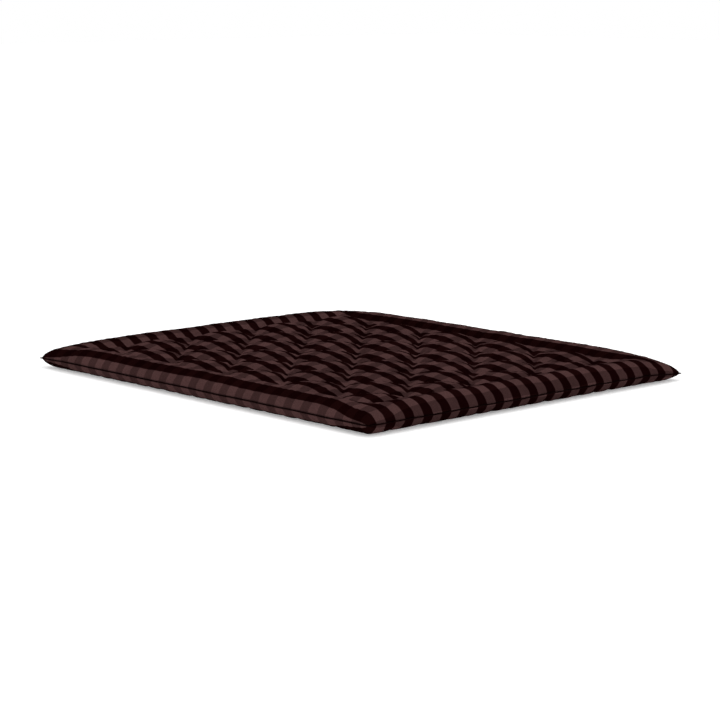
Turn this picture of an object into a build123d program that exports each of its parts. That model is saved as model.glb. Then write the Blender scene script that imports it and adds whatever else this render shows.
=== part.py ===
"""Tufted futon mattress: check cover, piped seam, rolled border, five layers of filling, 40 tufts.

Origin: centre of the underside. +X across the width, +Y along the length, +Z up. Millimetres.
"""

import os

from build123d import *

# Overall size
WIDTH = 1800.0
LENGTH = 2100.0

# Border profile: how far in from the edge, and how high above the floor
SEAM_HEIGHT = 45.0
CREST_INSET = 90.0
CREST_HEIGHT = 106.0
GUTTER_INSET = 160.0
GUTTER_HEIGHT = 78.0
FIELD_INSET = 218.0
FIELD_HEIGHT = 96.0
FOOT_INSET = 72.0

# Cloth, and the gap between one ply or layer and the next
COVER_THICKNESS = 1.2
CASE_THICKNESS = 0.8
PLY_GAP = 0.3

# Piping
CORD_DIAMETER = 3.6
TAPE_THICKNESS = 0.5
CORD_CLEARANCE = 0.1
FLANGE_LENGTH = 12.0
PIPING_CORNER_CLEARANCE = 0.2

# Filling layers; the core takes up what is left
WOOL_THICKNESS = 12.0
COTTON_THICKNESS = 18.0

# Tufts
TUFT_COLUMNS = 8
TUFT_ROWS = 10
TUFT_MARGIN = 260.0
PIT_DEPTH = 42.0
DIMPLE_DEPTH = 9.0
PIT_MOUTH_RADIUS = 38.0
PIT_FLOOR_RADIUS = 8.0
TWINE_DIAMETER = 2.4
TWINE_CLEARANCE = 0.4
KNOT_RADIUS = 5.5
KNOT_HEIGHT = 3.6

# Sizes that follow from those above
PIPING_RADIUS = CORD_DIAMETER / 2 + CORD_CLEARANCE + TAPE_THICKNESS
PIPING_CORNER_RADIUS = 2 * PIPING_RADIUS + PIPING_CORNER_CLEARANCE
COVER_INSET = 2 * PIPING_RADIUS + CORD_CLEARANCE
FLANGE_END = PIPING_RADIUS + FLANGE_LENGTH
CASE_INSET = FLANGE_END + PLY_GAP
FLANGE_THICKNESS = 2 * TAPE_THICKNESS
CASE_SHRINK = COVER_THICKNESS + PLY_GAP
FILLING_SHRINK = CASE_SHRINK + CASE_THICKNESS + PLY_GAP
TUFT_PITCH_X = (WIDTH - 2 * TUFT_MARGIN) / (TUFT_COLUMNS - 1)
TUFT_PITCH_Y = (LENGTH - 2 * TUFT_MARGIN) / (TUFT_ROWS - 1)
HOLE_RADIUS = TWINE_DIAMETER / 2 + TWINE_CLEARANCE

FILLING_LOW = FILLING_SHRINK
FILLING_HIGH = FIELD_HEIGHT - FILLING_SHRINK
LOWER_COTTON_LOW = FILLING_LOW + WOOL_THICKNESS
CORE_LOW = LOWER_COTTON_LOW + COTTON_THICKNESS
CORE_HIGH = FILLING_HIGH - WOOL_THICKNESS - COTTON_THICKNESS
UPPER_COTTON_HIGH = FILLING_HIGH - WOOL_THICKNESS

UNDER_KNOT = DIMPLE_DEPTH - KNOT_HEIGHT
OVER_KNOT = FIELD_HEIGHT - PIT_DEPTH + KNOT_HEIGHT

# The section of the border stands at the middle of the left side, its x running inward
SECTION_PLANE = Plane(origin=(-WIDTH / 2, 0, 0), x_dir=(1, 0, 0), z_dir=(0, -1, 0))
CENTRED_ON_TOP_OF = (Align.CENTER, Align.CENTER, Align.MIN)


def tuft_places():
    """Every second place of the tuft grid, in staggered rows."""
    places = []
    for column in range(TUFT_COLUMNS):
        for row in range(TUFT_ROWS):
            if (column + row) % 2:
                x = (column - (TUFT_COLUMNS - 1) / 2) * TUFT_PITCH_X
                y = (row - (TUFT_ROWS - 1) / 2) * TUFT_PITCH_Y
                places.append((x, y))
    return places


def edge_path(inset):
    """The rectangle that the border follows, from the middle of the left side round to it again."""
    x = WIDTH / 2 - inset
    y = LENGTH / 2 - inset
    with BuildLine() as path:
        Polyline((-x, 0), (-x, -y), (x, -y), (x, y), (-x, y), (-x, 0))
    return path.line


def rounded_edge_path(inset):
    """The same rectangle with rounded corners, which the piping follows at the seam."""
    x = WIDTH / 2 - inset
    y = LENGTH / 2 - inset
    radius = PIPING_CORNER_RADIUS - inset
    with BuildLine(Plane.XY.offset(SEAM_HEIGHT)) as path:
        FilletPolyline((-x, 0), (-x, -y), (x, -y), (x, 0), radius=radius)
        FilletPolyline((x, 0), (x, y), (-x, y), (-x, 0), radius=radius)
    return path.line


def border_section(shrink):
    """Everything inside the border from the seam to the field, drawn in by shrink all round."""
    seam = (COVER_INSET, SEAM_HEIGHT)
    crest = (CREST_INSET, CREST_HEIGHT)
    gutter = (GUTTER_INSET, GUTTER_HEIGHT)
    field = (FIELD_INSET, FIELD_HEIGHT)
    foot = (FOOT_INSET, 0)
    past_field = FIELD_INSET + 2 * FILLING_SHRINK
    with BuildSketch() as section:
        with BuildLine():
            TangentArc(crest, seam, tangent=(-1, 0))
            TangentArc(crest, gutter, tangent=(1, 0))
            TangentArc(field, gutter, tangent=(-1, 0))
            Polyline(field, (past_field, FIELD_HEIGHT), (past_field, 0), foot)
            TangentArc(foot, seam, tangent=(-1, 0))
        make_face()
        if shrink > 0:
            offset(amount=-shrink, mode=Mode.REPLACE)
    return section.sketch


def case_section(shrink):
    """The inner case as it stands behind the seam allowances, drawn in by shrink all round."""
    with BuildSketch() as section:
        add(border_section(CASE_SHRINK))
        with Locations((CASE_INSET, 0)):
            Rectangle(WIDTH / 2, CREST_HEIGHT, align=Align.MIN, mode=Mode.INTERSECT)
        if shrink > 0:
            offset(amount=-shrink, mode=Mode.REPLACE)
    return section.sketch


def ply_section(outside, inside, low, high):
    """A ply between two outlines and between two heights, as far as the field."""
    with BuildSketch() as section:
        add(outside)
        add(inside, mode=Mode.SUBTRACT)
        with Locations((0, low)):
            Rectangle(FIELD_INSET, high - low, align=Align.MIN, mode=Mode.INTERSECT)
    return section.sketch


def filling_section(start, end, low, high):
    """The filling inside the case, between two insets and two heights."""
    with BuildSketch() as section:
        add(case_section(CASE_THICKNESS + PLY_GAP))
        with Locations((start, low)):
            Rectangle(end - start, high - low, align=Align.MIN, mode=Mode.INTERSECT)
    return section.sketch


def pit_depth_at(height):
    """How far a level sinks at a tuft: down near the top, up (negative) near the underside."""
    share = height / FIELD_HEIGHT
    return share * PIT_DEPTH - (1 - share) * DIMPLE_DEPTH


def pit(height, mode):
    """The cones that a level makes at every tuft, added or taken away."""
    depth = pit_depth_at(height)
    if depth > 0:
        with Locations(*[(x, y, height) for x, y in tuft_places()]):
            Cone(PIT_FLOOR_RADIUS, PIT_MOUTH_RADIUS, depth,
                 align=(Align.CENTER, Align.CENTER, Align.MAX), mode=mode)
    else:
        with Locations(*[(x, y, height) for x, y in tuft_places()]):
            Cone(PIT_MOUTH_RADIUS, PIT_FLOOR_RADIUS, -depth,
                 align=CENTRED_ON_TOP_OF, mode=mode)


def tufted_panel(low, high):
    """The flat middle of a ply or layer, with its cones and the holes for the twine."""
    with Locations((0, 0, low)):
        Box(WIDTH - 2 * FIELD_INSET, LENGTH - 2 * FIELD_INSET, high - low,
            align=CENTRED_ON_TOP_OF)
    sunk_above = pit_depth_at(high) > 0
    sunk_below = pit_depth_at(low) > 0
    if not sunk_above:
        pit(high, Mode.ADD)
    if sunk_below:
        pit(low, Mode.ADD)
    if sunk_above:
        pit(high, Mode.SUBTRACT)
    if not sunk_below:
        pit(low, Mode.SUBTRACT)
    with Locations(*[(x, y, 0) for x, y in tuft_places()]):
        Cylinder(HOLE_RADIUS, CREST_HEIGHT, align=CENTRED_ON_TOP_OF, mode=Mode.SUBTRACT)


def swept_border(section, path):
    """Carry a section round the four sides, mitred at the corners."""
    with BuildSketch(SECTION_PLANE) as standing:
        add(section)
    sweep(sections=standing.sketch, path=path, transition=Transition.RIGHT)


def finish(piece, name):
    """Label a finished piece and write its file."""
    piece.part.label = name
    export_step(piece.part, f"parts/{name}.step")


os.makedirs("parts", exist_ok=True)

# Cover: two panels that turn in at the seam, one each side of the piping flange
UPPER_SEAM = SEAM_HEIGHT + FLANGE_THICKNESS / 2 + CORD_CLEARANCE
LOWER_SEAM = SEAM_HEIGHT - FLANGE_THICKNESS / 2 - CORD_CLEARANCE
BORDER_PATH = edge_path(0)

COVER_OUTSIDE = border_section(0)
COVER_INSIDE = border_section(COVER_THICKNESS)
ALLOWANCE = FLANGE_END - COVER_INSET

with BuildSketch() as top_cover_section:
    add(ply_section(COVER_OUTSIDE, COVER_INSIDE, UPPER_SEAM, CREST_HEIGHT))
    with Locations((COVER_INSET + COVER_THICKNESS / 2, UPPER_SEAM)):
        Rectangle(ALLOWANCE - COVER_THICKNESS / 2, COVER_THICKNESS, align=Align.MIN)

with BuildPart() as top_cover:
    swept_border(top_cover_section.sketch, BORDER_PATH)
    tufted_panel(FIELD_HEIGHT - COVER_THICKNESS, FIELD_HEIGHT)
finish(top_cover, "top_cover")

with BuildSketch() as bottom_cover_section:
    add(ply_section(COVER_OUTSIDE, COVER_INSIDE, 0, LOWER_SEAM))
    with Locations((COVER_INSET + COVER_THICKNESS / 2, LOWER_SEAM)):
        Rectangle(ALLOWANCE - COVER_THICKNESS / 2, COVER_THICKNESS, align=(Align.MIN, Align.MAX))

with BuildPart() as bottom_cover:
    swept_border(bottom_cover_section.sketch, BORDER_PATH)
    tufted_panel(0, COVER_THICKNESS)
finish(bottom_cover, "bottom_cover")

# Piping: a cord, and a tape folded round it whose flange lies between the two panels
PIPING_PATH = rounded_edge_path(PIPING_RADIUS)

with BuildPart() as piping_cord:
    with BuildSketch(SECTION_PLANE):
        with Locations((PIPING_RADIUS, SEAM_HEIGHT)):
            Circle(CORD_DIAMETER / 2)
    sweep(path=PIPING_PATH)
finish(piping_cord, "piping_cord")

with BuildPart() as piping_tape:
    with BuildSketch(SECTION_PLANE):
        with Locations((PIPING_RADIUS, SEAM_HEIGHT)):
            Circle(PIPING_RADIUS)
    sweep(path=PIPING_PATH)
    with BuildSketch(Plane.XY.offset(SEAM_HEIGHT - FLANGE_THICKNESS / 2)):
        Rectangle(WIDTH - 2 * PIPING_RADIUS, LENGTH - 2 * PIPING_RADIUS)
        Rectangle(WIDTH - 2 * FLANGE_END, LENGTH - 2 * FLANGE_END, mode=Mode.SUBTRACT)
    extrude(amount=FLANGE_THICKNESS)
    with BuildSketch(SECTION_PLANE):
        with Locations((PIPING_RADIUS, SEAM_HEIGHT)):
            Circle(CORD_DIAMETER / 2 + CORD_CLEARANCE)
    sweep(path=PIPING_PATH, mode=Mode.SUBTRACT)
finish(piping_tape, "piping_tape")

# Inner case: two plain cotton panels that meet at the seam height
CASE_OUTSIDE = case_section(0)
CASE_INSIDE = case_section(CASE_THICKNESS)
UPPER_CASE_EDGE = SEAM_HEIGHT + PLY_GAP / 2
LOWER_CASE_EDGE = SEAM_HEIGHT - PLY_GAP / 2

with BuildPart() as inner_case_top:
    swept_border(ply_section(CASE_OUTSIDE, CASE_INSIDE, UPPER_CASE_EDGE, CREST_HEIGHT), BORDER_PATH)
    tufted_panel(FIELD_HEIGHT - CASE_SHRINK - CASE_THICKNESS, FIELD_HEIGHT - CASE_SHRINK)
finish(inner_case_top, "inner_case_top")

with BuildPart() as inner_case_bottom:
    swept_border(ply_section(CASE_OUTSIDE, CASE_INSIDE, 0, LOWER_CASE_EDGE), BORDER_PATH)
    tufted_panel(CASE_SHRINK, CASE_SHRINK + CASE_THICKNESS)
finish(inner_case_bottom, "inner_case_bottom")

# Filling: five layers, each a little short of its neighbours and of the border rolls
LAYERS = {
    "lower_wool_batt": (FILLING_LOW, LOWER_COTTON_LOW - PLY_GAP),
    "lower_cotton_batt": (LOWER_COTTON_LOW, CORE_LOW - PLY_GAP),
    "core_pad": (CORE_LOW, CORE_HIGH - PLY_GAP),
    "upper_cotton_batt": (CORE_HIGH, UPPER_COTTON_HIGH - PLY_GAP),
    "upper_wool_batt": (UPPER_COTTON_HIGH, FILLING_HIGH),
}
for layer_name, (layer_low, layer_high) in LAYERS.items():
    edge_section = filling_section(GUTTER_INSET + PLY_GAP, FIELD_INSET, layer_low, layer_high)
    with BuildPart() as layer:
        swept_border(edge_section, BORDER_PATH)
        tufted_panel(layer_low, layer_high)
    finish(layer, layer_name)

# Border rolls: one felted roll along each side, mitred at the corners
ROLL_SIDES = {
    "edge_roll_left": (-1, 0),
    "edge_roll_right": (1, 0),
    "edge_roll_front": (0, -1),
    "edge_roll_back": (0, 1),
}
roll_section = filling_section(0, GUTTER_INSET, FILLING_SHRINK, CREST_HEIGHT)
for roll_name, (side_x, side_y) in ROLL_SIDES.items():
    outward = Vector(side_x, side_y, 0)
    along = Vector(-side_y, side_x, 0)
    middle = Vector(side_x * WIDTH / 2, side_y * LENGTH / 2, 0)
    half_side = abs(along.X) * WIDTH / 2 + abs(along.Y) * LENGTH / 2
    with BuildPart() as roll:
        swept_border(roll_section, BORDER_PATH)
        for end in (-1, 1):
            corner = middle + along * end * half_side
            into_roll = outward - along * end
            mitre = Plane(origin=corner + into_roll * PLY_GAP / 2, x_dir=(0, 0, 1), z_dir=into_roll)
            split(bisect_by=mitre, keep=Keep.TOP)
    finish(roll, roll_name)

# Tufts: a twine through every layer, held by a flat knot in each face
TUFT_PLACES = tuft_places()

with BuildPart() as tuft_twines:
    with Locations(*[(x, y, UNDER_KNOT + KNOT_HEIGHT) for x, y in TUFT_PLACES]):
        Cylinder(TWINE_DIAMETER / 2, OVER_KNOT - UNDER_KNOT - 2 * KNOT_HEIGHT, align=CENTRED_ON_TOP_OF)
finish(tuft_twines, "tuft_twines")

with BuildPart() as top_tuft_knots:
    with Locations(*[(x, y, OVER_KNOT - KNOT_HEIGHT) for x, y in TUFT_PLACES]):
        Cylinder(KNOT_RADIUS, KNOT_HEIGHT, align=CENTRED_ON_TOP_OF)
    fillet(top_tuft_knots.edges().group_by(Axis.Z)[-1], radius=KNOT_HEIGHT / 3)
finish(top_tuft_knots, "top_tuft_knots")

with BuildPart() as bottom_tuft_knots:
    with Locations(*[(x, y, UNDER_KNOT) for x, y in TUFT_PLACES]):
        Cylinder(KNOT_RADIUS, KNOT_HEIGHT, align=CENTRED_ON_TOP_OF)
    fillet(bottom_tuft_knots.edges().group_by(Axis.Z)[0], radius=KNOT_HEIGHT / 3)
finish(bottom_tuft_knots, "bottom_tuft_knots")
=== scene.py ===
import math

import bpy
import numpy as np
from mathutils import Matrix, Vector


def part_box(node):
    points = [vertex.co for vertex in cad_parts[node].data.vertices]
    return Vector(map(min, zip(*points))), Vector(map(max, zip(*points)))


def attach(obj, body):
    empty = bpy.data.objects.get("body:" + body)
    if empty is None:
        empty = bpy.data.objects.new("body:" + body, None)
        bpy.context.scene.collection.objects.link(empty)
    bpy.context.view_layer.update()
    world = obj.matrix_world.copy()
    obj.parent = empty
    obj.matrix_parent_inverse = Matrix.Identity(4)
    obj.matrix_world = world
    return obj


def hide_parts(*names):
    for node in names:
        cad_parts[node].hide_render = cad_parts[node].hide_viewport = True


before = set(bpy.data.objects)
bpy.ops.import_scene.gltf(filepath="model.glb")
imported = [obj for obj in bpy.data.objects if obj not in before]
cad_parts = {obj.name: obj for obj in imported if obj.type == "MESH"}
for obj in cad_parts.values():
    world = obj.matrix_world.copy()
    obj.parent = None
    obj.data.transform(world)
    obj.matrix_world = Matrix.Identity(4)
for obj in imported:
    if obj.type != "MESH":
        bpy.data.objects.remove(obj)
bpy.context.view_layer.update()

RNG = np.random.default_rng(11)
MM = 0.001

# Sizes read from the frame
TAPE_LOW, TAPE_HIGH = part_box("piping_tape")
COVER_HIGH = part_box("top_cover")[1]
KNOT_LOW, KNOT_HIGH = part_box("top_tuft_knots")
UNDER_KNOT_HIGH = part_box("bottom_tuft_knots")[1]
CORD_LOW, CORD_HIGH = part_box("piping_cord")
ROLL_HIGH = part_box("edge_roll_left")[1]
HALF_X = TAPE_HIGH.x
HALF_Y = TAPE_HIGH.y
SEAM_Z = (TAPE_LOW.z + TAPE_HIGH.z) / 2
PIPING_RADIUS = (TAPE_HIGH.z - TAPE_LOW.z) / 2
CORD_RADIUS = (CORD_HIGH.z - CORD_LOW.z) / 2
SEAM_IN = HALF_X - COVER_HIGH.x
CREST_Z = COVER_HIGH.z
GUTTER_IN = HALF_X + ROLL_HIGH.x
PIT_Z = KNOT_LOW.z
DIMPLE_Z = UNDER_KNOT_HIGH.z

# Border sizes that the frame's boxes don't hold, as the CAD has them
CREST_IN = 90 * MM
GUTTER_Z = 78 * MM
FIELD_IN = 218 * MM
FIELD_Z = 96 * MM
FOOT_IN = 72 * MM
ALLOWANCE_IN = 14.4 * MM
CASE_IN = 14.7 * MM
TOP_ROUNDING = 4.0
FOOT_ROUNDING = 9.0

# Corners: how far the seam sinks at three of them, and how much flatter the roll is at all four
CORNER_SINK = {(1, -1): 14 * MM, (1, 1): 12 * MM, (-1, 1): 3 * MM}
CORNER_SINK_REACH = 170 * MM
CORNER_FLATTER = 0.2
CORNER_FLATTER_REACH = 260 * MM

# Tufts
COLUMNS = 8
ROWS = 10
KNOT_RADIUS = 5.5 * MM
TWINE_RADIUS = 1.2 * MM
TUFT_X = KNOT_HIGH.x - KNOT_RADIUS
TUFT_Y = KNOT_HIGH.y - KNOT_RADIUS
PITCH_X = 2 * TUFT_X / (COLUMNS - 1)
PITCH_Y = 2 * TUFT_Y / (ROWS - 1)
VALLEY_SHARE = 0.1
VALLEY_POWER = 0.85
DOME_POWER = 0.45
DIMPLE_REACH = 26 * MM
CROWN_Z = 98 * MM
KNOT_SEAT = 11 * MM

# Cloth: the check's period, the share of each slope's extra length that shows in the check, how many
# grid rows that is spread over, and how finely the panels are cut before they are subdivided
PERIOD = 97.4 * MM
FIELD_TAKE_UP = 0.7
BORDER_TAKE_UP = 0.945
SHEAR_REACH = 4
CELLS_X = 142
CELLS_Y = 170

# Filling layers, thickness at the field
WOOL = 12 * MM
COTTON = 18 * MM
CASE_GAP = 1.5 * MM
SKIN_GAP = 7 * MM
PLY_GAP = 0.3 * MM


# ---------------------------------------------------------------- shape of the mattress

def hump(value, middle, width):
    return np.exp(-(((value - middle) / width) ** 2))


def arc_fall(away, run, drop):
    """How far an arc has fallen, away from its level end, if it falls by drop over run."""
    radius = (run ** 2 + drop ** 2) / (2 * drop)
    return radius - np.sqrt(radius ** 2 - np.clip(away, 0, run) ** 2)


def roll_height(inset):
    """The top cover over the border roll, from the seam over the crest to the gutter."""
    outer = arc_fall(CREST_IN - inset, CREST_IN - SEAM_IN, CREST_Z - SEAM_Z)
    inner = arc_fall(inset - CREST_IN, GUTTER_IN - CREST_IN, CREST_Z - GUTTER_Z)
    return CREST_Z - np.where(inset < CREST_IN, outer, inner)


def field_share(inset):
    """0 at the gutter, 1 where the field has its full height."""
    return 1 - arc_fall(FIELD_IN - inset, FIELD_IN - GUTTER_IN, FIELD_Z - GUTTER_Z) / (FIELD_Z - GUTTER_Z)


def border_height(inset):
    field = GUTTER_Z + (FIELD_Z - GUTTER_Z) * field_share(inset)
    return np.where(inset < GUTTER_IN, roll_height(inset), field)


def foot_height(inset):
    """The bottom cover, from the seam down to the floor."""
    return arc_fall(FOOT_IN - inset, FOOT_IN - SEAM_IN, SEAM_Z)


def insets(x, y):
    return np.maximum(HALF_X - np.abs(x), 1e-5), np.maximum(HALF_Y - np.abs(y), 1e-5)


def border_inset(x, y, rounding=TOP_ROUNDING):
    """Distance in from the nearest edge, rounded where two sides meet."""
    side, end = (np.maximum(each - SEAM_IN, 1e-6) for each in insets(x, y))
    return SEAM_IN + (side ** -rounding + end ** -rounding) ** (-1 / rounding)


def corner_sink(x, y):
    """How far the seam has sunk near the corners."""
    total = 0
    for (side, end), depth in CORNER_SINK.items():
        away = np.hypot(x - side * HALF_X, y - end * HALF_Y)
        total = total + depth * hump(away, 0, CORNER_SINK_REACH)
    return total


def corner_flatness(x, y):
    """How much of its height above the seam the roll keeps near the corners."""
    away = np.hypot(*insets(x, y))
    return 1 - CORNER_FLATTER * hump(away, 0, CORNER_FLATTER_REACH)


def pillow_height(x, y):
    """0 at a tuft and 1 on the crown of a pillow, between the staggered tufts."""
    column = (x + TUFT_X) / PITCH_X
    row = (y + TUFT_Y) / PITCH_Y
    one = np.abs(np.cos(math.pi / 2 * (column + row)))
    other = np.abs(np.cos(math.pi / 2 * (column - row)))
    valley = one ** VALLEY_POWER + other ** VALLEY_POWER - (one * other) ** VALLEY_POWER
    crown = (one * other) ** DOME_POWER
    height = VALLEY_SHARE * valley + (1 - VALLEY_SHARE) * crown
    for tuft_x, tuft_y in TUFTS:
        height = height * (1 - hump(np.hypot(x - tuft_x, y - tuft_y), 0, KNOT_SEAT))
    return height


def tuft_places():
    return [
        (column * PITCH_X - TUFT_X, row * PITCH_Y - TUFT_Y)
        for column in range(COLUMNS)
        for row in range(ROWS)
        if (column + row) % 2
    ]


TUFTS = tuft_places()


def top_height(x, y):
    inset = border_inset(x, y)
    field = PIT_Z + (CROWN_Z - PIT_Z) * pillow_height(x, y)
    inside = GUTTER_Z + (field - GUTTER_Z) * field_share(inset)
    height = np.where(inset < GUTTER_IN, roll_height(inset), inside)
    return SEAM_Z + (height - SEAM_Z) * corner_flatness(x, y) - corner_sink(x, y)


def bottom_height(x, y):
    height = foot_height(border_inset(x, y, FOOT_ROUNDING))
    height = height * (1 - corner_sink(x, y) / SEAM_Z)
    for tuft_x, tuft_y in TUFTS:
        away = np.hypot(x - tuft_x, y - tuft_y)
        height = np.maximum(height, DIMPLE_Z * np.exp(-((away / DIMPLE_REACH) ** 1.5)))
    return height


# ---------------------------------------------------------------- unevenness

def ripple(shortest, longest, waves=9):
    """A random wave along a line, about 1 high, whose lengths lie between two values."""
    lengths = np.exp(RNG.uniform(math.log(shortest), math.log(longest), waves))
    phases = RNG.uniform(0, 2 * math.pi, waves)

    def wave(along):
        total = sum(np.sin(2 * math.pi * along / n + p) for n, p in zip(lengths, phases))
        return total / math.sqrt(waves / 2)

    return wave


def border_ripple(shortest, longest, slant=0.0):
    """A ripple along each of the four sides, patchy, joined smoothly at the corners."""
    sides = [ripple(shortest, longest) for _ in range(4)]
    patches = [ripple(150 * MM, 420 * MM, 4) for _ in range(4)]

    def at(x, y):
        side, end = insets(x, y)
        near_side = end ** 4 / (side ** 4 + end ** 4)
        total = 0
        for index, (along, across, share) in enumerate(
            ((y, x, near_side), (y, -x, near_side), (x, y, 1 - near_side), (x, -y, 1 - near_side))
        ):
            depth = side if index < 2 else end
            patch = 0.55 + 0.45 * np.tanh(patches[index](along))
            total = total + np.where(across > 0, share, 0) * patch * sides[index](along + slant * depth)
        return total

    return at


SEAM_SWAY = border_ripple(260 * MM, 640 * MM)
SEAM_PUCKER = border_ripple(26 * MM, 46 * MM, 0.35)
SHOULDER_PUCKER = border_ripple(26 * MM, 44 * MM, -0.5)
GUTTER_PUCKER = border_ripple(38 * MM, 80 * MM, 0.25)
FOOT_SCALLOP = border_ripple(70 * MM, 170 * MM)
ROLL_LUMP = border_ripple(120 * MM, 330 * MM)


def seam_sway(x, y):
    """How far the whole seam wanders up and down, the same for both panels and the piping."""
    side, end = insets(x, y)
    corner = np.clip(np.maximum(side, end) / (240 * MM), 0, 1)
    return 1.3 * MM * SEAM_SWAY(x, y) * corner


def seam_level(x, y):
    return SEAM_Z + seam_sway(x, y) - corner_sink(x, y)


def pit_folds(x, y, reach, height):
    """Folds that run out from each tuft like the points of a star."""
    total = np.zeros_like(x)
    for tuft_x, tuft_y in TUFTS:
        folds = int(RNG.integers(5, 8))
        turn = RNG.uniform(0, 2 * math.pi)
        size = RNG.uniform(0.7, 1.2)
        away = np.hypot(x - tuft_x, y - tuft_y)
        angle = np.arctan2(y - tuft_y, x - tuft_x)
        star = np.cos(folds * angle + turn) + 0.4 * np.cos((folds - 2) * angle - 2 * turn)
        total += size * height * star * hump(away, reach, 0.55 * reach)
    return total


# ---------------------------------------------------------------- grids and meshes

def stations(half, cells):
    """Grid lines across a panel, evenly spaced along the cloth over the border."""
    inset = np.linspace(SEAM_IN, half, 4000)
    step = np.hypot(np.diff(inset), np.diff(border_height(inset)))
    arc = np.concatenate([[0], np.cumsum(step)])
    from_edge = np.interp(np.linspace(0, arc[-1], cells // 2 + 1), arc, inset)
    right = half - from_edge[::-1]
    return np.concatenate([-right[:0:-1], right])


def eased(values, axis):
    """Values spread over neighbouring rows, since a yarn can't step sideways; the edges stay."""
    reach = 3 * SHEAR_REACH
    weight = np.exp(-0.5 * (np.arange(-reach, reach + 1) / SHEAR_REACH) ** 2)
    weight /= weight.sum()
    margins = [(0, 0), (0, 0)]
    margins[axis] = (reach, reach)
    wide = np.pad(values, margins, mode="reflect", reflect_type="odd")
    count = values.shape[axis]
    return sum(share * np.take(wide, np.arange(start, start + count), axis=axis)
               for start, share in enumerate(weight))


def arc_length(position, height, axis):
    """Signed length of cloth from the panel's middle line, less what its weave gives."""
    across = np.diff(position, axis=axis)
    step = np.hypot(across, np.diff(height, axis=axis))
    take_up = np.where(INSET < FIELD_IN, BORDER_TAKE_UP, FIELD_TAKE_UP)
    share = np.minimum(np.delete(take_up, 0, axis), np.delete(take_up, -1, axis))
    length = across + share * (step - across)
    start = np.zeros_like(np.take(position, [0], axis=axis))
    total = np.concatenate([start, np.cumsum(length, axis=axis)], axis=axis)
    total = total - np.take(total, [total.shape[axis] // 2], axis=axis)
    return position + eased(total - position, 1 - axis)


def normals(points):
    along = np.gradient(points, axis=0)
    across = np.gradient(points, axis=1)
    normal = np.cross(along, across)
    return normal / np.linalg.norm(normal, axis=-1, keepdims=True)


def new_object(name, vertices, faces, smooth=True):
    mesh = bpy.data.meshes.new(name)
    mesh.from_pydata(np.asarray(vertices, float).reshape(-1, 3).tolist(), [], np.asarray(faces).tolist())
    mesh.polygons.foreach_set("use_smooth", [smooth] * len(mesh.polygons))
    mesh.update()
    piece = bpy.data.objects.new(name, mesh)
    bpy.context.scene.collection.objects.link(piece)
    return piece


def grid_faces(rows, columns, flip=False, start=0, wrap=False):
    """Quads of a grid; with wrap, the last row joins the first."""
    index = start + np.arange(rows * columns).reshape(rows, columns)
    if wrap:
        index = np.vstack([index, index[:1]])
    corners = [index[:-1, :-1], index[1:, :-1], index[1:, 1:], index[:-1, 1:]]
    quads = np.stack(corners, axis=-1).reshape(-1, 4)
    return quads[:, ::-1] if flip else quads


def panel(name, points, cloth, flip=False):
    """A cloth panel over a grid of points, with the cloth's own coordinates as a UV map."""
    faces = grid_faces(*points.shape[:2], flip=flip)
    piece = new_object(name, points, faces)
    layer = piece.data.uv_layers.new(name="cloth")
    layer.data.foreach_set("uv", cloth.reshape(-1, 2)[faces.reshape(-1)].reshape(-1).astype(np.float32))
    return piece


def read_points(mesh):
    co = np.empty(len(mesh.vertices) * 3, np.float32)
    mesh.vertices.foreach_get("co", co)
    return co.reshape(-1, 3).astype(float)


def write_points(mesh, points):
    mesh.vertices.foreach_set("co", points.reshape(-1).astype(np.float32))
    mesh.update()


def settle(piece, held, pressure, slack, cap, frames=22):
    """Let the cloth settle from its drawn shape: longer than its outline, pushed out from inside."""
    rest = read_points(piece.data)
    group = piece.vertex_groups.new(name="held")
    for level in np.unique(held):
        group.add(np.nonzero(held == level)[0].tolist(), float(level), "REPLACE")
    cloth = piece.modifiers.new("cloth", "CLOTH")
    cloth.settings.quality = 7
    cloth.settings.mass = 0.2
    cloth.settings.tension_stiffness = 18
    cloth.settings.compression_stiffness = 18
    cloth.settings.shear_stiffness = 6
    cloth.settings.bending_stiffness = 0.25
    cloth.settings.shrink_min = -slack
    cloth.settings.use_pressure = True
    cloth.settings.uniform_pressure_force = pressure
    cloth.settings.vertex_group_mass = group.name
    cloth.settings.pin_stiffness = 1.0
    cloth.settings.effector_weights.gravity = 0
    cloth.collision_settings.use_collision = False
    cloth.collision_settings.use_self_collision = False
    cloth.point_cache.frame_start = 1
    cloth.point_cache.frame_end = frames
    for number in range(1, frames + 1):
        bpy.context.scene.frame_set(number)
    depsgraph = bpy.context.evaluated_depsgraph_get()
    moved = read_points(piece.evaluated_get(depsgraph).data)
    piece.modifiers.remove(cloth)
    piece.vertex_groups.remove(group)
    bpy.context.scene.frame_set(1)
    move = moved - rest
    size = np.maximum(np.linalg.norm(move, axis=1, keepdims=True), 1e-9)
    average, most = size.mean() / MM, size.max() / MM
    print(f"{piece.name}: cloth moved {average:.1f} mm on average, {most:.1f} mm at most")
    write_points(piece.data, rest + move / size * cap * np.tanh(size / cap))


def subdivide(piece):
    modifier = piece.modifiers.new("finer", "SUBSURF")
    modifier.levels = 1
    modifier.render_levels = 1
    depsgraph = bpy.context.evaluated_depsgraph_get()
    finer = bpy.data.meshes.new_from_object(piece.evaluated_get(depsgraph))
    piece.modifiers.remove(modifier)
    piece.data = finer
    finer.polygons.foreach_set("use_smooth", [True] * len(finer.polygons))


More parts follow.
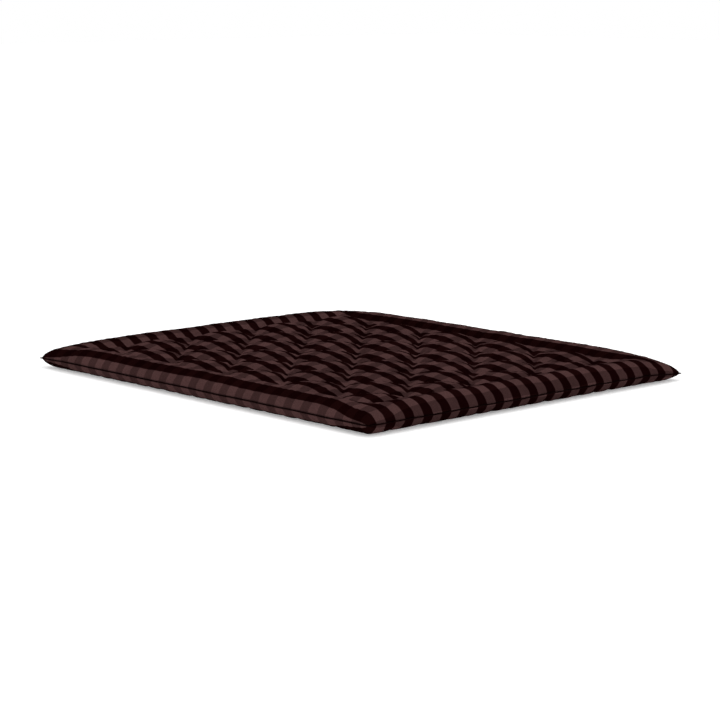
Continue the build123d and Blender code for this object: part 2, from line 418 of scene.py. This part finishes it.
def with_allowance(points, cloth, level):
    """Turn the panel's edge in at the seam, as its seam allowance."""
    points = np.pad(points, ((1, 1), (1, 1), (0, 0)), mode="edge")
    cloth = np.pad(cloth, ((1, 1), (1, 1), (0, 0)), mode="edge")
    ring = np.ones(points.shape[:2], bool)
    ring[1:-1, 1:-1] = False
    width = ALLOWANCE_IN - SEAM_IN
    points[ring, 0] *= 1 - width / (HALF_X - SEAM_IN)
    points[ring, 1] *= 1 - width / (HALF_Y - SEAM_IN)
    points[ring, 2] += level
    cloth[ring] *= 1 + width / HALF_X
    return points, cloth


# ---------------------------------------------------------------- materials

class Graph:
    """A material's node tree, with short calls for the nodes that these materials use."""

    def __init__(self, name, roughness, sheen=0.0, sheen_tint=(1, 1, 1), specular=0.25):
        self.material = bpy.data.materials.new(name)
        self.material.use_nodes = True
        self.tree = self.material.node_tree
        self.shader = self.tree.nodes["Principled BSDF"]
        self.shader.inputs["Roughness"].default_value = roughness
        self.shader.inputs["Specular IOR Level"].default_value = specular
        self.shader.inputs["Sheen Weight"].default_value = sheen
        self.shader.inputs["Sheen Roughness"].default_value = 0.5
        self.shader.inputs["Sheen Tint"].default_value = (*sheen_tint, 1)

    def put(self, value, target):
        if isinstance(value, bpy.types.NodeSocket):
            self.tree.links.new(value, target)
        elif isinstance(value, tuple) and len(value) == 3 and target.type == "RGBA":
            target.default_value = (*value, 1)
        else:
            target.default_value = value

    def node(self, kind, **inputs):
        node = self.tree.nodes.new(kind)
        for name, value in inputs.items():
            self.put(value, node.inputs[name.replace("_", " ")])
        return node

    def math(self, operation, *values):
        node = self.tree.nodes.new("ShaderNodeMath")
        node.operation = operation
        for value, target in zip(values, node.inputs):
            self.put(value, target)
        return node.outputs[0]

    def remap(self, value, low, high, to_low=0.0, to_high=1.0):
        node = self.tree.nodes.new("ShaderNodeMapRange")
        for item, target in zip((value, low, high, to_low, to_high), node.inputs):
            self.put(item, target)
        return node.outputs[0]

    def mix(self, factor, first, second, blend="MIX"):
        node = self.tree.nodes.new("ShaderNodeMix")
        node.data_type = "RGBA"
        node.blend_type = blend
        self.put(factor, node.inputs[0])
        self.put(first, node.inputs[6])
        self.put(second, node.inputs[7])
        return node.outputs[2]

    def place(self):
        """The point on the object, in metres."""
        return self.tree.nodes.new("ShaderNodeTexCoord").outputs["Object"]

    def noise(self, scale, detail=3.0, roughness=0.55, vector=None):
        node = self.node("ShaderNodeTexNoise", Scale=scale, Detail=detail, Roughness=roughness)
        self.put(vector or self.place(), node.inputs["Vector"])
        return node.outputs[0]

    def stretched(self, vector, scale):
        node = self.tree.nodes.new("ShaderNodeMapping")
        self.put(vector, node.inputs["Vector"])
        node.inputs["Scale"].default_value = scale
        return node.outputs[0]

    def bump(self, height, distance, strength=1.0):
        node = self.node("ShaderNodeBump", Height=height, Distance=distance, Strength=strength)
        self.tree.links.new(node.outputs[0], self.shader.inputs["Normal"])

    def colour(self, value):
        self.put(value, self.shader.inputs["Base Color"])

    def rough(self, value):
        self.put(value, self.shader.inputs["Roughness"])


def plain_weave(graph, across, along):
    """Height of a plain weave, and which of its two yarns is on top, from two yarn counts."""
    warp = graph.math("ABSOLUTE", graph.math("SINE", graph.math("MULTIPLY", across, math.pi)))
    weft = graph.math("ABSOLUTE", graph.math("SINE", graph.math("MULTIPLY", along, math.pi)))
    steps = graph.math("ADD", graph.math("FLOOR", across), graph.math("FLOOR", along))
    over = graph.math("FLOORED_MODULO", steps, 2.0)
    under = graph.math("SUBTRACT", 1.0, over)
    height = graph.math("ADD", graph.math("MULTIPLY", warp, over), graph.math("MULTIPLY", weft, under))
    return height, over


LIGHT_ON_LIGHT = (0.064, 0.031, 0.030)
LIGHT_ON_MID = (0.038, 0.018, 0.0175)
DARK_ON_LIGHT = (0.0080, 0.0017, 0.0017)
DARK_ON_MID = (0.0052, 0.0008, 0.0009)
YARNS_PER_PERIOD = 64


def check_material():
    """Woven check: strong stripes along the mattress, weak ones across it."""
    graph = Graph("check_cloth", 0.95, specular=0.0)
    cloth = graph.tree.nodes.new("ShaderNodeUVMap")
    cloth.uv_map = "cloth"
    split = graph.node("ShaderNodeSeparateXYZ", Vector=cloth.outputs[0])
    waver = graph.remap(graph.noise(14.0, 2.0), 0, 1, -0.010, 0.010)
    across = graph.math("ADD", split.outputs[0], waver)
    along = graph.math("ADD", split.outputs[1], waver)

    def stripe(value):
        wave = graph.math("COSINE", graph.math("MULTIPLY", value, 2 * math.pi))
        return graph.remap(wave, -0.05, 0.05)

    dark = stripe(across)
    mid = stripe(along)
    light_warp = graph.mix(mid, LIGHT_ON_LIGHT, LIGHT_ON_MID)
    dark_warp = graph.mix(mid, DARK_ON_LIGHT, DARK_ON_MID)
    ground = graph.mix(dark, light_warp, dark_warp)

    warp_count = graph.math("MULTIPLY", split.outputs[0], YARNS_PER_PERIOD)
    weft_count = graph.math("MULTIPLY", split.outputs[1], YARNS_PER_PERIOD)
    height, over = plain_weave(graph, warp_count, weft_count)
    yarn_tone = graph.remap(over, 0, 1, 0.80, 1.20)
    slub = graph.noise(1.0, 2.0, vector=graph.stretched(cloth.outputs[0], (90, 5, 1)))
    slub_tone = graph.remap(slub, 0.3, 0.7, 0.82, 1.18)
    cloud_tone = graph.remap(graph.noise(6.0, 4.0), 0.3, 0.7, 0.88, 1.12)
    tone = graph.math("MULTIPLY", graph.math("MULTIPLY", yarn_tone, slub_tone), cloud_tone)
    grey = graph.node("ShaderNodeCombineXYZ", X=tone, Y=tone, Z=tone).outputs[0]
    graph.colour(graph.mix(1.0, ground, grey, "MULTIPLY"))
    graph.rough(graph.remap(slub, 0.3, 0.7, 0.84, 0.96))
    fuzz = graph.math("MULTIPLY", graph.noise(900.0, 2.0), 0.35)
    graph.bump(graph.math("ADD", height, fuzz), 0.35 * MM, 0.7)
    return graph.material


def cotton_material(name, colour, fleck, yarns_per_metre):
    """Plain woven cotton, seen by its place on the object, with flecks of seed husk."""
    graph = Graph(name, 0.9, sheen=0.15)
    split = graph.node("ShaderNodeSeparateXYZ", Vector=graph.place())
    across = graph.math("MULTIPLY", split.outputs[0], yarns_per_metre)
    along = graph.math("MULTIPLY", split.outputs[1], yarns_per_metre)
    height, over = plain_weave(graph, across, along)
    cloud = graph.remap(graph.noise(9.0, 4.0), 0.3, 0.7)
    darker = tuple(0.82 * part for part in colour)
    specks = graph.remap(graph.noise(320.0, 1.0), 0.70, 0.74)
    graph.colour(graph.mix(specks, graph.mix(cloud, darker, colour), fleck))
    graph.rough(graph.remap(over, 0, 1, 0.86, 0.94))
    graph.bump(height, 0.25 * MM, 0.6)
    return graph.material


def fibre_material(name, pale, deep, coarse, distance, stretch=(1, 1, 1)):
    """Loose or felted fibre: clumps, fine strands, and a soft sheen."""
    graph = Graph(name, 0.95, sheen=0.35, sheen_tint=pale)
    place = graph.stretched(graph.place(), stretch)
    clump = graph.noise(coarse, 5.0, 0.62, place)
    strand = graph.noise(coarse * 14, 3.0, 0.7, graph.stretched(place, (1, 0.25, 3)))
    both = graph.math("ADD", graph.math("MULTIPLY", clump, 0.65), graph.math("MULTIPLY", strand, 0.35))
    graph.colour(graph.mix(graph.remap(both, 0.34, 0.66), deep, pale))
    graph.rough(graph.remap(strand, 0.3, 0.7, 0.88, 1.0))
    graph.bump(both, distance, 0.8)
    return graph.material


def yarn_material(name, pale, deep, twist_scale):
    """Twisted yarn: slanting plies, with painted shade that makes the grooves between them darker."""
    graph = Graph(name, 0.82, sheen=0.2, sheen_tint=pale)
    wave = graph.node("ShaderNodeTexWave", Scale=twist_scale, Distortion=0.6)
    wave.bands_direction = "DIAGONAL"
    graph.put(graph.place(), wave.inputs["Vector"])
    ply = wave.outputs[1]
    fuzz = graph.noise(700.0, 3.0)
    blend = graph.math("MULTIPLY", ply, graph.remap(fuzz, 0.3, 0.7, 0.75, 1.0))
    # Painted shade: the grooves between the plies take the deep colour, along the same waves as the bump.
    graph.colour(graph.mix(blend, deep, pale))
    graph.rough(graph.remap(fuzz, 0.3, 0.7, 0.74, 0.9))
    graph.bump(graph.math("ADD", ply, graph.math("MULTIPLY", fuzz, 0.4)), 0.2 * MM, 0.6)
    return graph.material


def piping_material():
    """Very dark twill tape, cut on the bias."""
    graph = Graph("piping_cloth", 0.9, specular=0.0)
    split = graph.node("ShaderNodeSeparateXYZ", Vector=graph.place())
    level = graph.math("ADD", split.outputs[0], split.outputs[1])
    bias = graph.math("ADD", level, split.outputs[2])
    other = graph.math("SUBTRACT", level, split.outputs[2])
    yarns = 900
    height, over = plain_weave(
        graph, graph.math("MULTIPLY", bias, yarns), graph.math("MULTIPLY", other, yarns)
    )
    wear = graph.remap(graph.noise(60.0, 4.0), 0.35, 0.75)
    graph.colour(graph.mix(wear, (0.0030, 0.0008, 0.0008), (0.0075, 0.0026, 0.0026)))
    graph.rough(graph.remap(over, 0, 1, 0.8, 0.9))
    graph.bump(height, 0.2 * MM, 0.6)
    return graph.material


CHECK = check_material()
PIPING = piping_material()
# For the cord and the twine, the second colour is painted shade for the grooves between their plies.
CORD = yarn_material("cord_cotton", (0.62, 0.56, 0.46), (0.38, 0.33, 0.26), 160)
CASE = cotton_material("case_cotton", (0.66, 0.61, 0.52), (0.20, 0.13, 0.07), 900)
WOOL_FIBRE = fibre_material("wool", (0.72, 0.68, 0.58), (0.50, 0.45, 0.36), 26, 2.5 * MM)
COTTON_FIBRE = fibre_material("cotton", (0.80, 0.77, 0.70), (0.60, 0.56, 0.48), 34, 1.8 * MM)
CORE_FIBRE = fibre_material("core_fibre", (0.58, 0.55, 0.50), (0.34, 0.31, 0.28), 48, 1.2 * MM)
ROLL_FELT = fibre_material("roll_felt", (0.46, 0.43, 0.39), (0.24, 0.22, 0.20), 60, 1.0 * MM)
TWINE = yarn_material("twine", (0.034, 0.016, 0.015), (0.010, 0.004, 0.004), 260)


def dress(piece, material, slot, *nodes, fill=None):
    """Give a piece its material and its place in the frame, and hide the parts that it stands for; the
    slot is not used.
    """
    piece.data.materials.clear()
    piece.data.materials.append(material)
    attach(piece, "root")
    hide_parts(*nodes)


# ---------------------------------------------------------------- cover

XS = stations(HALF_X, CELLS_X)
YS = stations(HALF_Y, CELLS_Y)
GRID_X, GRID_Y = np.meshgrid(XS, YS, indexing="ij")
INSET = border_inset(GRID_X, GRID_Y)
TOP_Z = top_height(GRID_X, GRID_Y)
BOTTOM_Z = bottom_height(GRID_X, GRID_Y)


def cloth_coordinates():
    """Both panels' cloth coordinates, in check periods; they agree along the seam."""
    top_u = arc_length(GRID_X, TOP_Z, 0) / PERIOD
    top_v = arc_length(GRID_Y, TOP_Z, 1) / PERIOD
    bottom_u = arc_length(GRID_X, BOTTOM_Z, 0)
    bottom_v = arc_length(GRID_Y, BOTTOM_Z, 1)
    bottom_u = bottom_u * top_u[-1:] / bottom_u[-1:]
    bottom_v = bottom_v * top_v[:, -1:] / bottom_v[:, -1:]
    return np.stack([top_u, top_v], axis=-1), np.stack([bottom_u, bottom_v], axis=-1)


def near_tuft(radius):
    """1 at the grid points within a radius of a tuft."""
    near = np.zeros(GRID_X.shape, bool)
    for tuft_x, tuft_y in TUFTS:
        near |= np.hypot(GRID_X - tuft_x, GRID_Y - tuft_y) < radius
    return near


def on_edge(shape):
    edge = np.ones(shape, bool)
    edge[1:-1, 1:-1] = False
    return edge


def top_points():
    """The top panel as it is drawn, before it settles."""
    points = np.stack([GRID_X, GRID_Y, TOP_Z], axis=-1)
    free = np.clip((INSET - SEAM_IN) / (6 * MM), 0, 1)
    rise = 2.0 * MM * SEAM_PUCKER(GRID_X, GRID_Y) * hump(INSET, 18 * MM, 14 * MM)
    rise += 2.2 * MM * SHOULDER_PUCKER(GRID_X, GRID_Y) * hump(INSET, 50 * MM, 18 * MM)
    rise += 1.6 * MM * GUTTER_PUCKER(GRID_X, GRID_Y) * hump(INSET, GUTTER_IN, 30 * MM)
    rise += 1.4 * MM * ROLL_LUMP(GRID_X, GRID_Y) * hump(INSET, CREST_IN, 45 * MM)
    rise += pit_folds(GRID_X, GRID_Y, 34 * MM, 2.6 * MM)
    points += normals(points) * (rise * free)[..., None]
    points[..., 2] += seam_sway(GRID_X, GRID_Y) * np.clip(1 - INSET / (120 * MM), 0, 1)
    return points


def bottom_points():
    points = np.stack([GRID_X, GRID_Y, BOTTOM_Z], axis=-1)
    free = np.clip((INSET - SEAM_IN) / (6 * MM), 0, 1)
    rise = 1.2 * MM * SEAM_PUCKER(GRID_X, GRID_Y) * hump(INSET, 16 * MM, 14 * MM)
    points -= normals(points) * (rise * free)[..., None]
    scallop = np.maximum(FOOT_SCALLOP(GRID_X, GRID_Y) + 0.4, 0)
    points[..., 2] += 1.2 * MM * scallop * hump(INSET, 62 * MM, 30 * MM) * free
    points[..., 2] += seam_sway(GRID_X, GRID_Y) * np.clip(1 - INSET / (70 * MM), 0, 1)
    return points


TOP_CLOTH, BOTTOM_CLOTH = cloth_coordinates()

top_start = top_points()
top = panel("top_cover_cloth", top_start, TOP_CLOTH)
bottom_start = bottom_points()
bottom = panel("bottom_cover_cloth", bottom_start, BOTTOM_CLOTH, flip=True)

held = np.full(GRID_X.shape, 0.25)
held[INSET < FIELD_IN] = 0.45
held[np.abs(INSET - GUTTER_IN) < 14 * MM] = 0.7
held[near_tuft(15 * MM)] = 1.0
held[on_edge(GRID_X.shape)] = 1.0
settle(top, held.reshape(-1), pressure=0.05, slack=0.04, cap=5 * MM)
held = np.where(BOTTOM_Z < 1 * MM, 0.9, 0.2)
held[near_tuft(15 * MM)] = 1.0
held[on_edge(GRID_X.shape)] = 1.0
settle(bottom, held.reshape(-1), pressure=0.1, slack=0.03, cap=4 * MM)

TOP_SKIN = read_points(top.data).reshape(*GRID_X.shape, 3)
BOTTOM_SKIN = read_points(bottom.data).reshape(*GRID_X.shape, 3)
BOTTOM_SKIN[..., 2] = np.maximum(BOTTOM_SKIN[..., 2], 0)

for old in (top, bottom):
    bpy.data.objects.remove(old)


def cover_panel(name, skin, cloth, level, flip):
    points, cloth = with_allowance(skin, cloth, level)
    piece = panel(name, points, cloth, flip)
    subdivide(piece)
    finer = read_points(piece.data)
    finer[:, 2] = np.maximum(finer[:, 2], 0)
    write_points(piece.data, finer)
    return piece


top = cover_panel("top_cover_cloth", TOP_SKIN, TOP_CLOTH, 0.6 * MM, False)
bottom = cover_panel("bottom_cover_cloth", BOTTOM_SKIN, BOTTOM_CLOTH, -0.6 * MM, True)
dress(top, CHECK, "check_cloth", "top_cover", fill=0.7)
dress(bottom, CHECK, "check_cloth", "bottom_cover", fill=0.7)


# ---------------------------------------------------------------- piping and seam

PIPING_CORNER = 5 * MM


def edge_loop(inset, spacing):
    """Points evenly round the rounded edge, each with its outward direction."""
    radius = PIPING_CORNER - inset
    long_x = HALF_X - PIPING_CORNER
    long_y = HALF_Y - PIPING_CORNER
    corners = [(1, 1), (-1, 1), (-1, -1), (1, -1)]
    places = []
    for number, (sign_x, sign_y) in enumerate(corners):
        for turn in np.linspace(0, math.pi / 2, 7):
            angle = number * math.pi / 2 + turn
            out = (math.cos(angle), math.sin(angle))
            places.append((sign_x * long_x + radius * out[0], sign_y * long_y + radius * out[1], *out))
        next_x, next_y = corners[(number + 1) % 4]
        out = (math.cos((number + 1) * math.pi / 2), math.sin((number + 1) * math.pi / 2))
        start = np.array([sign_x * long_x + radius * out[0], sign_y * long_y + radius * out[1]])
        end = np.array([next_x * long_x + radius * out[0], next_y * long_y + radius * out[1]])
        count = int(np.linalg.norm(end - start) / spacing)
        for share in np.arange(1, count) / count:
            places.append((*(start + (end - start) * share), *out))
    return np.array(places)


def tube_round_edge(inset, sides, spacing, radius_at):
    """Vertices and faces of a closed tube along the seam; radius_at gives its section."""
    loop = edge_loop(inset, spacing)
    length = np.concatenate([[0], np.cumsum(np.hypot(*np.diff(loop[:, :2], axis=0).T))])
    angle = np.linspace(0, 2 * math.pi, sides, endpoint=False)
    radius = radius_at(length[:, None] / length[-1], angle[None, :])
    out = radius * np.cos(angle)
    up = radius * np.sin(angle)
    x = loop[:, 0:1] + loop[:, 2:3] * out
    y = loop[:, 1:2] + loop[:, 3:4] * out
    z = seam_level(loop[:, 0:1], loop[:, 1:2]) + up
    points = np.stack([x, y, z], axis=-1)
    index = np.arange(points.shape[0] * sides).reshape(-1, sides)
    index = np.vstack([index, index[:1]])
    index = np.hstack([index, index[:, :1]])
    corners = [index[:-1, :-1], index[1:, :-1], index[1:, 1:], index[:-1, 1:]]
    return points.reshape(-1, 3), np.stack(corners, axis=-1).reshape(-1, 4)


def flange_ring(start):
    """The flat part of the tape, which lies between the panels, as a closed frame."""
    along_x = np.linspace(-1, 1, 61)
    along_y = np.linspace(-1, 1, 71)
    ring = [(x, -1) for x in along_x[:-1]] + [(1, y) for y in along_y[:-1]]
    ring += [(x, 1) for x in along_x[:0:-1]] + [(-1, y) for y in along_y[:0:-1]]
    ring = np.array(ring)
    rows = []
    for inset, level in ((4.0, -0.5), (14.4, -0.5), (14.4, 0.5), (4.0, 0.5)):
        x = ring[:, 0] * (HALF_X - inset * MM)
        y = ring[:, 1] * (HALF_Y - inset * MM)
        rows.append(np.stack([x, y, seam_level(x, y) + level * MM], axis=-1))
    points = np.stack(rows, axis=1)
    index = start + np.arange(points.shape[0] * 4).reshape(-1, 4)
    index = np.vstack([index, index[:1]])
    index = np.hstack([index, index[:, :1]])
    corners = [index[:-1, :-1], index[:-1, 1:], index[1:, 1:], index[1:, :-1]]
    return points.reshape(-1, 3), np.stack(corners, axis=-1).reshape(-1, 4)


def tape_radius(share, angle):
    """The tape's outside: round, slightly uneven where it is gathered over the cord."""
    gather = 0.05 * np.sin(2 * math.pi * 260 * share) * np.cos(angle)
    return PIPING_RADIUS * (1 + gather - 0.05)


def cord_radius(share, angle):
    """Three plies that twist round each other."""
    return CORD_RADIUS * (0.88 + 0.12 * np.cos(3 * (angle - 2 * math.pi * 310 * share)))


def make_piping():
    tube, tube_faces = tube_round_edge(PIPING_RADIUS, 12, 6 * MM, tape_radius)
    flange, flange_faces = flange_ring(len(tube))
    points = np.vstack([tube, flange])
    faces = np.vstack([tube_faces, flange_faces])
    tape = new_object("piping_tape_folded", points, faces)
    dress(tape, PIPING, "piping_cloth", "piping_tape")
    cord = new_object("piping_cord_twisted", *tube_round_edge(PIPING_RADIUS, 12, 4 * MM, cord_radius))
    dress(cord, CORD, "cord_cotton", "piping_cord")


make_piping()


# ---------------------------------------------------------------- inner case and filling

def height_at(levels, x, y):
    """Height of a skin over plan positions, from its levels on the grid lines."""
    i = np.clip(np.searchsorted(XS, x) - 1, 0, len(XS) - 2)
    j = np.clip(np.searchsorted(YS, y) - 1, 0, len(YS) - 2)
    right = (x - XS[i]) / (XS[i + 1] - XS[i])
    back = (y - YS[j]) / (YS[j + 1] - YS[j])
    near = levels[i, j] * (1 - right) + levels[i + 1, j] * right
    far = levels[i, j + 1] * (1 - right) + levels[i + 1, j + 1] * right
    return near * (1 - back) + far * back


def extreme_near(levels, pick):
    """The lowest or highest level among each grid point and its eight neighbours."""
    padded = np.pad(levels, 1, mode="edge")
    rows, columns = levels.shape
    shifted = [padded[i:i + rows, j:j + columns] for i in range(3) for j in range(3)]
    return pick(np.stack(shifted), axis=0)


CEILING = extreme_near(TOP_SKIN[..., 2], np.min) - SKIN_GAP
GROUND = extreme_near(BOTTOM_SKIN[..., 2], np.max) + SKIN_GAP


def case_panel(name, skin, edge_lift, flip):
    """A case panel just inside the cover, ending in an upright edge behind the seam allowances."""
    inside_x = np.nonzero(HALF_X - np.abs(XS) >= CASE_IN + 1 * MM)[0]
    inside_y = np.nonzero(HALF_Y - np.abs(YS) >= CASE_IN + 1 * MM)[0]
    sign = 1 if flip else -1
    even = skin.copy()
    even[..., 2] = extreme_near(skin[..., 2], np.max if flip else np.min)
    inner = even + sign * normals(even) * CASE_GAP
    points = inner[inside_x[0]:inside_x[-1] + 1, inside_y[0]:inside_y[-1] + 1]
    points = np.pad(points, ((1, 1), (1, 1), (0, 0)), mode="edge")
    ring = on_edge(points.shape[:2])
    points[ring, 0] *= 1 + 0.05 * MM
    points[ring, 1] *= 1 + 0.05 * MM
    points[ring, 2] = seam_level(points[ring, 0], points[ring, 1]) + edge_lift
    return new_object(name, points, grid_faces(*points.shape[:2], flip=flip))


def make_case():
    upper = case_panel("case_top_cotton", TOP_SKIN, 0.8 * MM, False)
    dress(upper, CASE, "case_cotton", "inner_case_top")
    lower = case_panel("case_bottom_cotton", BOTTOM_SKIN, -0.8 * MM, True)
    dress(lower, CASE, "case_cotton", "inner_case_bottom")


def slab(name, low, high):
    """A closed pad between two grids of points."""
    rows, columns = low.shape[:2]
    count = rows * columns
    under = grid_faces(rows, columns, flip=True)
    over = grid_faces(rows, columns, start=count)
    index = np.arange(count).reshape(rows, columns)
    rim = np.concatenate([index[:, 0], index[-1, 1:], index[-2::-1, -1], index[0, -2:0:-1]])
    after = np.roll(rim, -1)
    wall = np.stack([rim, after, after + count, rim + count], axis=-1)
    points = np.vstack([low.reshape(-1, 3), high.reshape(-1, 3)])
    return new_object(name, points, np.vstack([under, over, wall]))


def make_layers():
    """Five pads that share the height between the two faces, thinner at every tuft."""
    start = GUTTER_IN + 1 * MM
    xs = np.linspace(-(HALF_X - start), HALF_X - start, 84)
    ys = np.linspace(-(HALF_Y - start), HALF_Y - start, 100)
    x, y = np.meshgrid(xs, ys, indexing="ij")
    low = height_at(GROUND, x, y)
    high = height_at(CEILING, x, y)
    whole = FIELD_Z - 2 * SKIN_GAP
    core = whole - 2 * (WOOL + COTTON)
    layers = (
        ("lower_wool_fleece", "lower_wool_batt", WOOL, WOOL_FIBRE, "wool", 0.5),
        ("lower_cotton_fleece", "lower_cotton_batt", COTTON, COTTON_FIBRE, "cotton", 0.6),
        ("core_pad_fibre", "core_pad", core, CORE_FIBRE, "core_fibre", 0.8),
        ("upper_cotton_fleece", "upper_cotton_batt", COTTON, COTTON_FIBRE, "cotton", 0.6),
        ("upper_wool_fleece", "upper_wool_batt", WOOL, WOOL_FIBRE, "wool", 0.5),
    )
    below = 0.0
    for name, node, thickness, material, slot, fill in layers:
        above = below + thickness / whole
        floor_z = low + below * (high - low) + PLY_GAP / 2
        roof_z = low + above * (high - low) - PLY_GAP / 2
        pad = slab(name, np.stack([x, y, floor_z], axis=-1), np.stack([x, y, roof_z], axis=-1))
        dress(pad, material, slot, node, fill=fill)
        below = above


def make_rolls():
    """One felted roll along each side, mitred where two meet."""
    inset = np.linspace(CASE_IN + 3 * MM, GUTTER_IN - 1 * MM, 16)
    along = np.linspace(-1, 1, 121) * (1 - 0.4 * MM)
    depth, share = np.meshgrid(inset, along, indexing="ij")
    for side in ("left", "right", "front", "back"):
        sign = -1 if side in ("left", "front") else 1
        if side in ("left", "right"):
            x = sign * (HALF_X - depth)
            y = share * (HALF_Y - depth)
        else:
            x = share * (HALF_X - depth)
            y = sign * (HALF_Y - depth)
        low = np.stack([x, y, height_at(GROUND, x, y)], axis=-1)
        high = np.stack([x, y, height_at(CEILING, x, y)], axis=-1)
        mirrored = side in ("right", "front")
        if mirrored:
            low, high = low[:, ::-1], high[:, ::-1]
        roll = slab(f"roll_{side}_felt", low, high)
        dress(roll, ROLL_FELT, "roll_felt", f"edge_roll_{side}", fill=0.9)


make_case()
make_layers()
make_rolls()


# ---------------------------------------------------------------- tufts

def tube_along(path, radius, sides=7, lobes=0, turns=0.0, closed=False):
    """Vertices and faces of a tube along a path; lobes twist round it as the plies of a twine."""
    path = np.asarray(path, float)
    if closed:
        tangent = np.roll(path, -1, axis=0) - np.roll(path, 1, axis=0)
    else:
        tangent = np.gradient(path, axis=0)
    tangent /= np.linalg.norm(tangent, axis=1, keepdims=True)
    helper = np.where(np.abs(tangent[:, 2:3]) > 0.9, [[1.0, 0.0, 0.0]], [[0.0, 0.0, 1.0]])
    side = np.cross(tangent, helper)
    side /= np.linalg.norm(side, axis=1, keepdims=True)
    other = np.cross(side, tangent)
    angle = np.linspace(0, 2 * math.pi, sides, endpoint=False)
    share = np.linspace(0, 1, len(path))[:, None]
    size = radius * (1 + (0.14 * np.cos(lobes * (angle - 2 * math.pi * turns * share)) if lobes else 0))
    size = np.broadcast_to(size, (len(path), sides))[..., None]
    ring = side[:, None] * np.cos(angle)[None, :, None] + other[:, None] * np.sin(angle)[None, :, None]
    points = path[:, None] + ring * size
    index = np.arange(len(path) * sides).reshape(-1, sides)
    if closed:
        index = np.vstack([index, index[:1]])
    index = np.hstack([index, index[:, :1]])
    corners = [index[:-1, :-1], index[1:, :-1], index[1:, 1:], index[:-1, 1:]]
    faces = np.stack(corners, axis=-1).reshape(-1, 4).tolist()
    if not closed:
        faces.append(list(range(sides)))
        faces.append(list(range((len(path) - 1) * sides, len(path) * sides))[::-1])
    return points.reshape(-1, 3), faces


def joined(name, parts):
    """One object from several lots of vertices and faces."""
    vertices = []
    faces = []
    for points, part_faces in parts:
        start = len(vertices)
        vertices.extend(np.asarray(points).tolist())
        faces.extend([[start + corner for corner in face] for face in part_faces])
    mesh = bpy.data.meshes.new(name)
    mesh.from_pydata(vertices, [], faces)
    mesh.polygons.foreach_set("use_smooth", [True] * len(faces))
    mesh.update()
    piece = bpy.data.objects.new(name, mesh)
    bpy.context.scene.collection.objects.link(piece)
    return piece


def knot_parts(place, facing):
    """A flat knot of twine with two short cut ends; facing is 1 on top and -1 underneath."""
    turn = RNG.uniform(0, 2 * math.pi)
    size = RNG.uniform(0.9, 1.0)
    t = np.linspace(0, 2 * math.pi, 54, endpoint=False)
    reach = (KNOT_RADIUS - TWINE_RADIUS) / 3 * size
    x = reach * (np.sin(t + turn) + 2 * np.sin(2 * t + turn))
    y = reach * (np.cos(t + turn) - 2 * np.cos(2 * t + turn))
    z = 0.7 * MM * -np.sin(3 * t)
    middle = np.array([place[0], place[1], place[2] + facing * 1.8 * MM])
    loop = np.stack([x, y, z * facing], axis=-1) + middle
    parts = [tube_along(loop, 1.0 * MM, 6, closed=True)]
    for start in (turn, turn + RNG.uniform(2.2, 3.6)):
        length = RNG.uniform(5.5, 9) * MM
        share = np.linspace(0, 1, 7)
        bend = start + RNG.uniform(-0.7, 0.7) * share
        away = 2.5 * MM + length * share
        tail = np.stack([away * np.cos(bend), away * np.sin(bend), facing * 2.6 * MM * share], axis=-1)
        parts.append(tube_along(tail + middle, 0.8 * MM, 6))
    return parts


def make_tufts():
    above = []
    below = []
    between = []
    for x, y in TUFTS:
        above += knot_parts((x, y, PIT_Z), 1)
        below += knot_parts((x, y, DIMPLE_Z), -1)
        path = np.stack([np.full(26, x), np.full(26, y), np.linspace(DIMPLE_Z, PIT_Z, 26)], axis=-1)
        between.append(tube_along(path, TWINE_RADIUS * 0.88, 9, lobes=3, turns=4))
    dress(joined("tuft_knots_top_twine", above), TWINE, "twine", "top_tuft_knots")
    dress(joined("tuft_knots_bottom_twine", below), TWINE, "twine", "bottom_tuft_knots")
    dress(joined("tuft_twines_twisted", between), TWINE, "twine", "tuft_twines")


make_tufts()


# ---------------------------------------------------------------- floor, light and camera

FLOOR_GLOW = 0.3


def make_floor():
    reach = 40
    corners = [(-reach, -reach, 0), (reach, -reach, 0), (reach, reach, 0), (-reach, reach, 0)]
    floor = new_object("floor", corners, [(0, 1, 2, 3)], smooth=False)
    graph = Graph("floor", 0.9)
    graph.colour(graph.mix(graph.noise(0.4, 2.0), (0.93, 0.93, 0.93), (0.95, 0.95, 0.95)))
    graph.shader.inputs["Emission Strength"].default_value = FLOOR_GLOW
    floor.data.materials.append(graph.material)


def make_world(strength):
    world = bpy.data.worlds.new("studio")
    bpy.context.scene.world = world
    world.use_nodes = True
    world.node_tree.nodes["Background"].inputs["Color"].default_value = (1, 1, 1, 1)
    world.node_tree.nodes["Background"].inputs["Strength"].default_value = strength


def area_light(name, place, size, power):
    data = bpy.data.lights.new(name, "AREA")
    data.shape = "SQUARE"
    data.size = size
    data.energy = power
    light = bpy.data.objects.new(name, data)
    light.location = place
    light.rotation_euler = (-Vector(place)).to_track_quat("-Z", "Y").to_euler()
    bpy.context.scene.collection.objects.link(light)


def make_camera():
    place = (-6.488, -7.066, 1.682)
    yaw = 0.826
    pitch = 0.1675
    data = bpy.data.cameras.new("camera")
    data.lens = 113.85
    data.sensor_width = 36
    camera = bpy.data.objects.new("camera", data)
    camera.location = place
    camera.rotation_euler = (math.pi / 2 - pitch, 0, yaw - math.pi / 2)
    bpy.context.scene.collection.objects.link(camera)
    bpy.context.scene.camera = camera


make_floor()
make_world(1.0)
area_light("key", (-1.5, -2.0, 4.5), 3.5, 40)
make_camera()
bpy.context.scene.view_settings.view_transform = "Standard"
